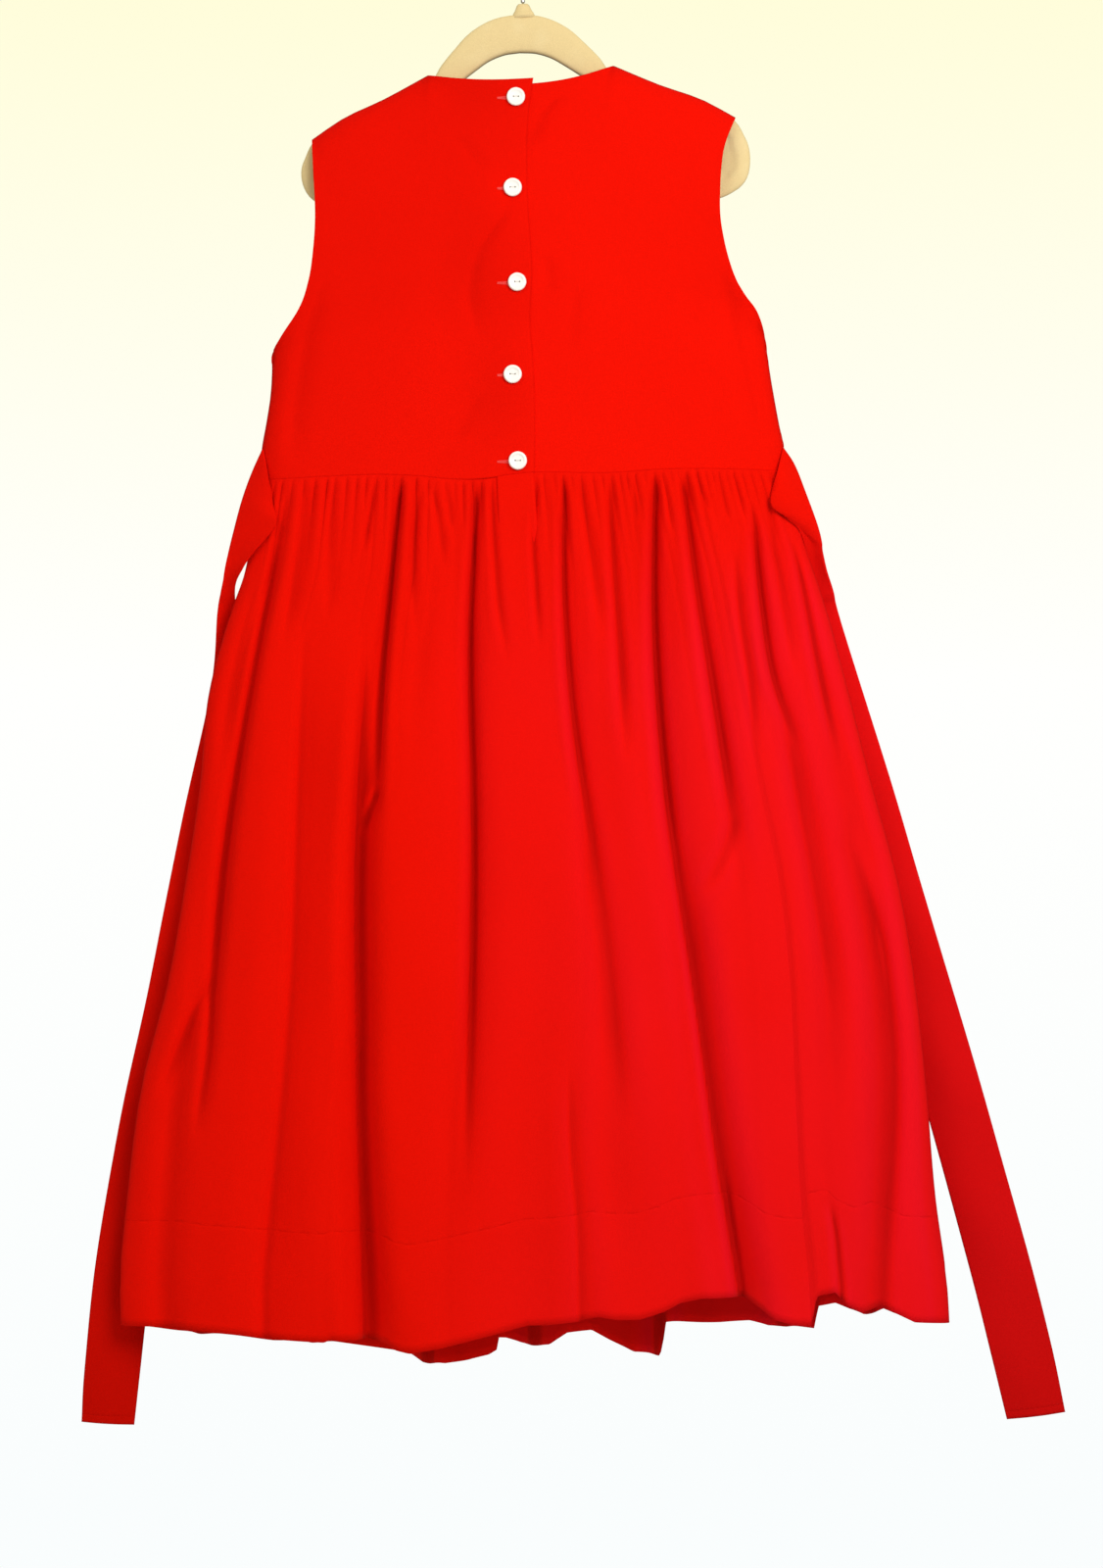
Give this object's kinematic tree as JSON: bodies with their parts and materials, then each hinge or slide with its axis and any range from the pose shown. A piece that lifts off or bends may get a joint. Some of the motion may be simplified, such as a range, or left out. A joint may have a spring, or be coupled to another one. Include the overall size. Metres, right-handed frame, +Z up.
{
  "type": "smocked dress on a hanger",
  "caption": "Child's sleeveless red cotton dress with a smocked front, buttoned back, gathered skirt and sash ties, hung on a closed-loop hanger.",
  "frame": {"origin": "underside of the hook's crest, where a rail holds the hanger", "axes": "+Z up, -Y out of the dress's buttoned back, +X to the viewer's right when looking at the back"},
  "size_m": [0.6227, 0.0816, 0.9545],
  "materials": {
    "dress_cloth": "plain-woven cotton with a slight sheen",
    "buttons": "pearly white",
    "hanger_flock": "matte beige flock",
    "hook_wire": "satin wire"
  },
  "bodies": {
    "root": {"bodice_front": "dress_cloth", "bodice_back_left": "dress_cloth", "bodice_back_right": "dress_cloth", "skirt_front": "dress_cloth", "skirt_back": "dress_cloth", "skirt_placket": "dress_cloth", "sash_left": "dress_cloth", "sash_right": "dress_cloth", "button_1": "buttons", "button_2": "buttons", "button_3": "buttons", "button_4": "buttons", "button_5": "buttons", "hanger_body": "hanger_flock", "hanger_neck": "hanger_flock", "hanger_hook": "hook_wire"}
  },
  "joints": []
}
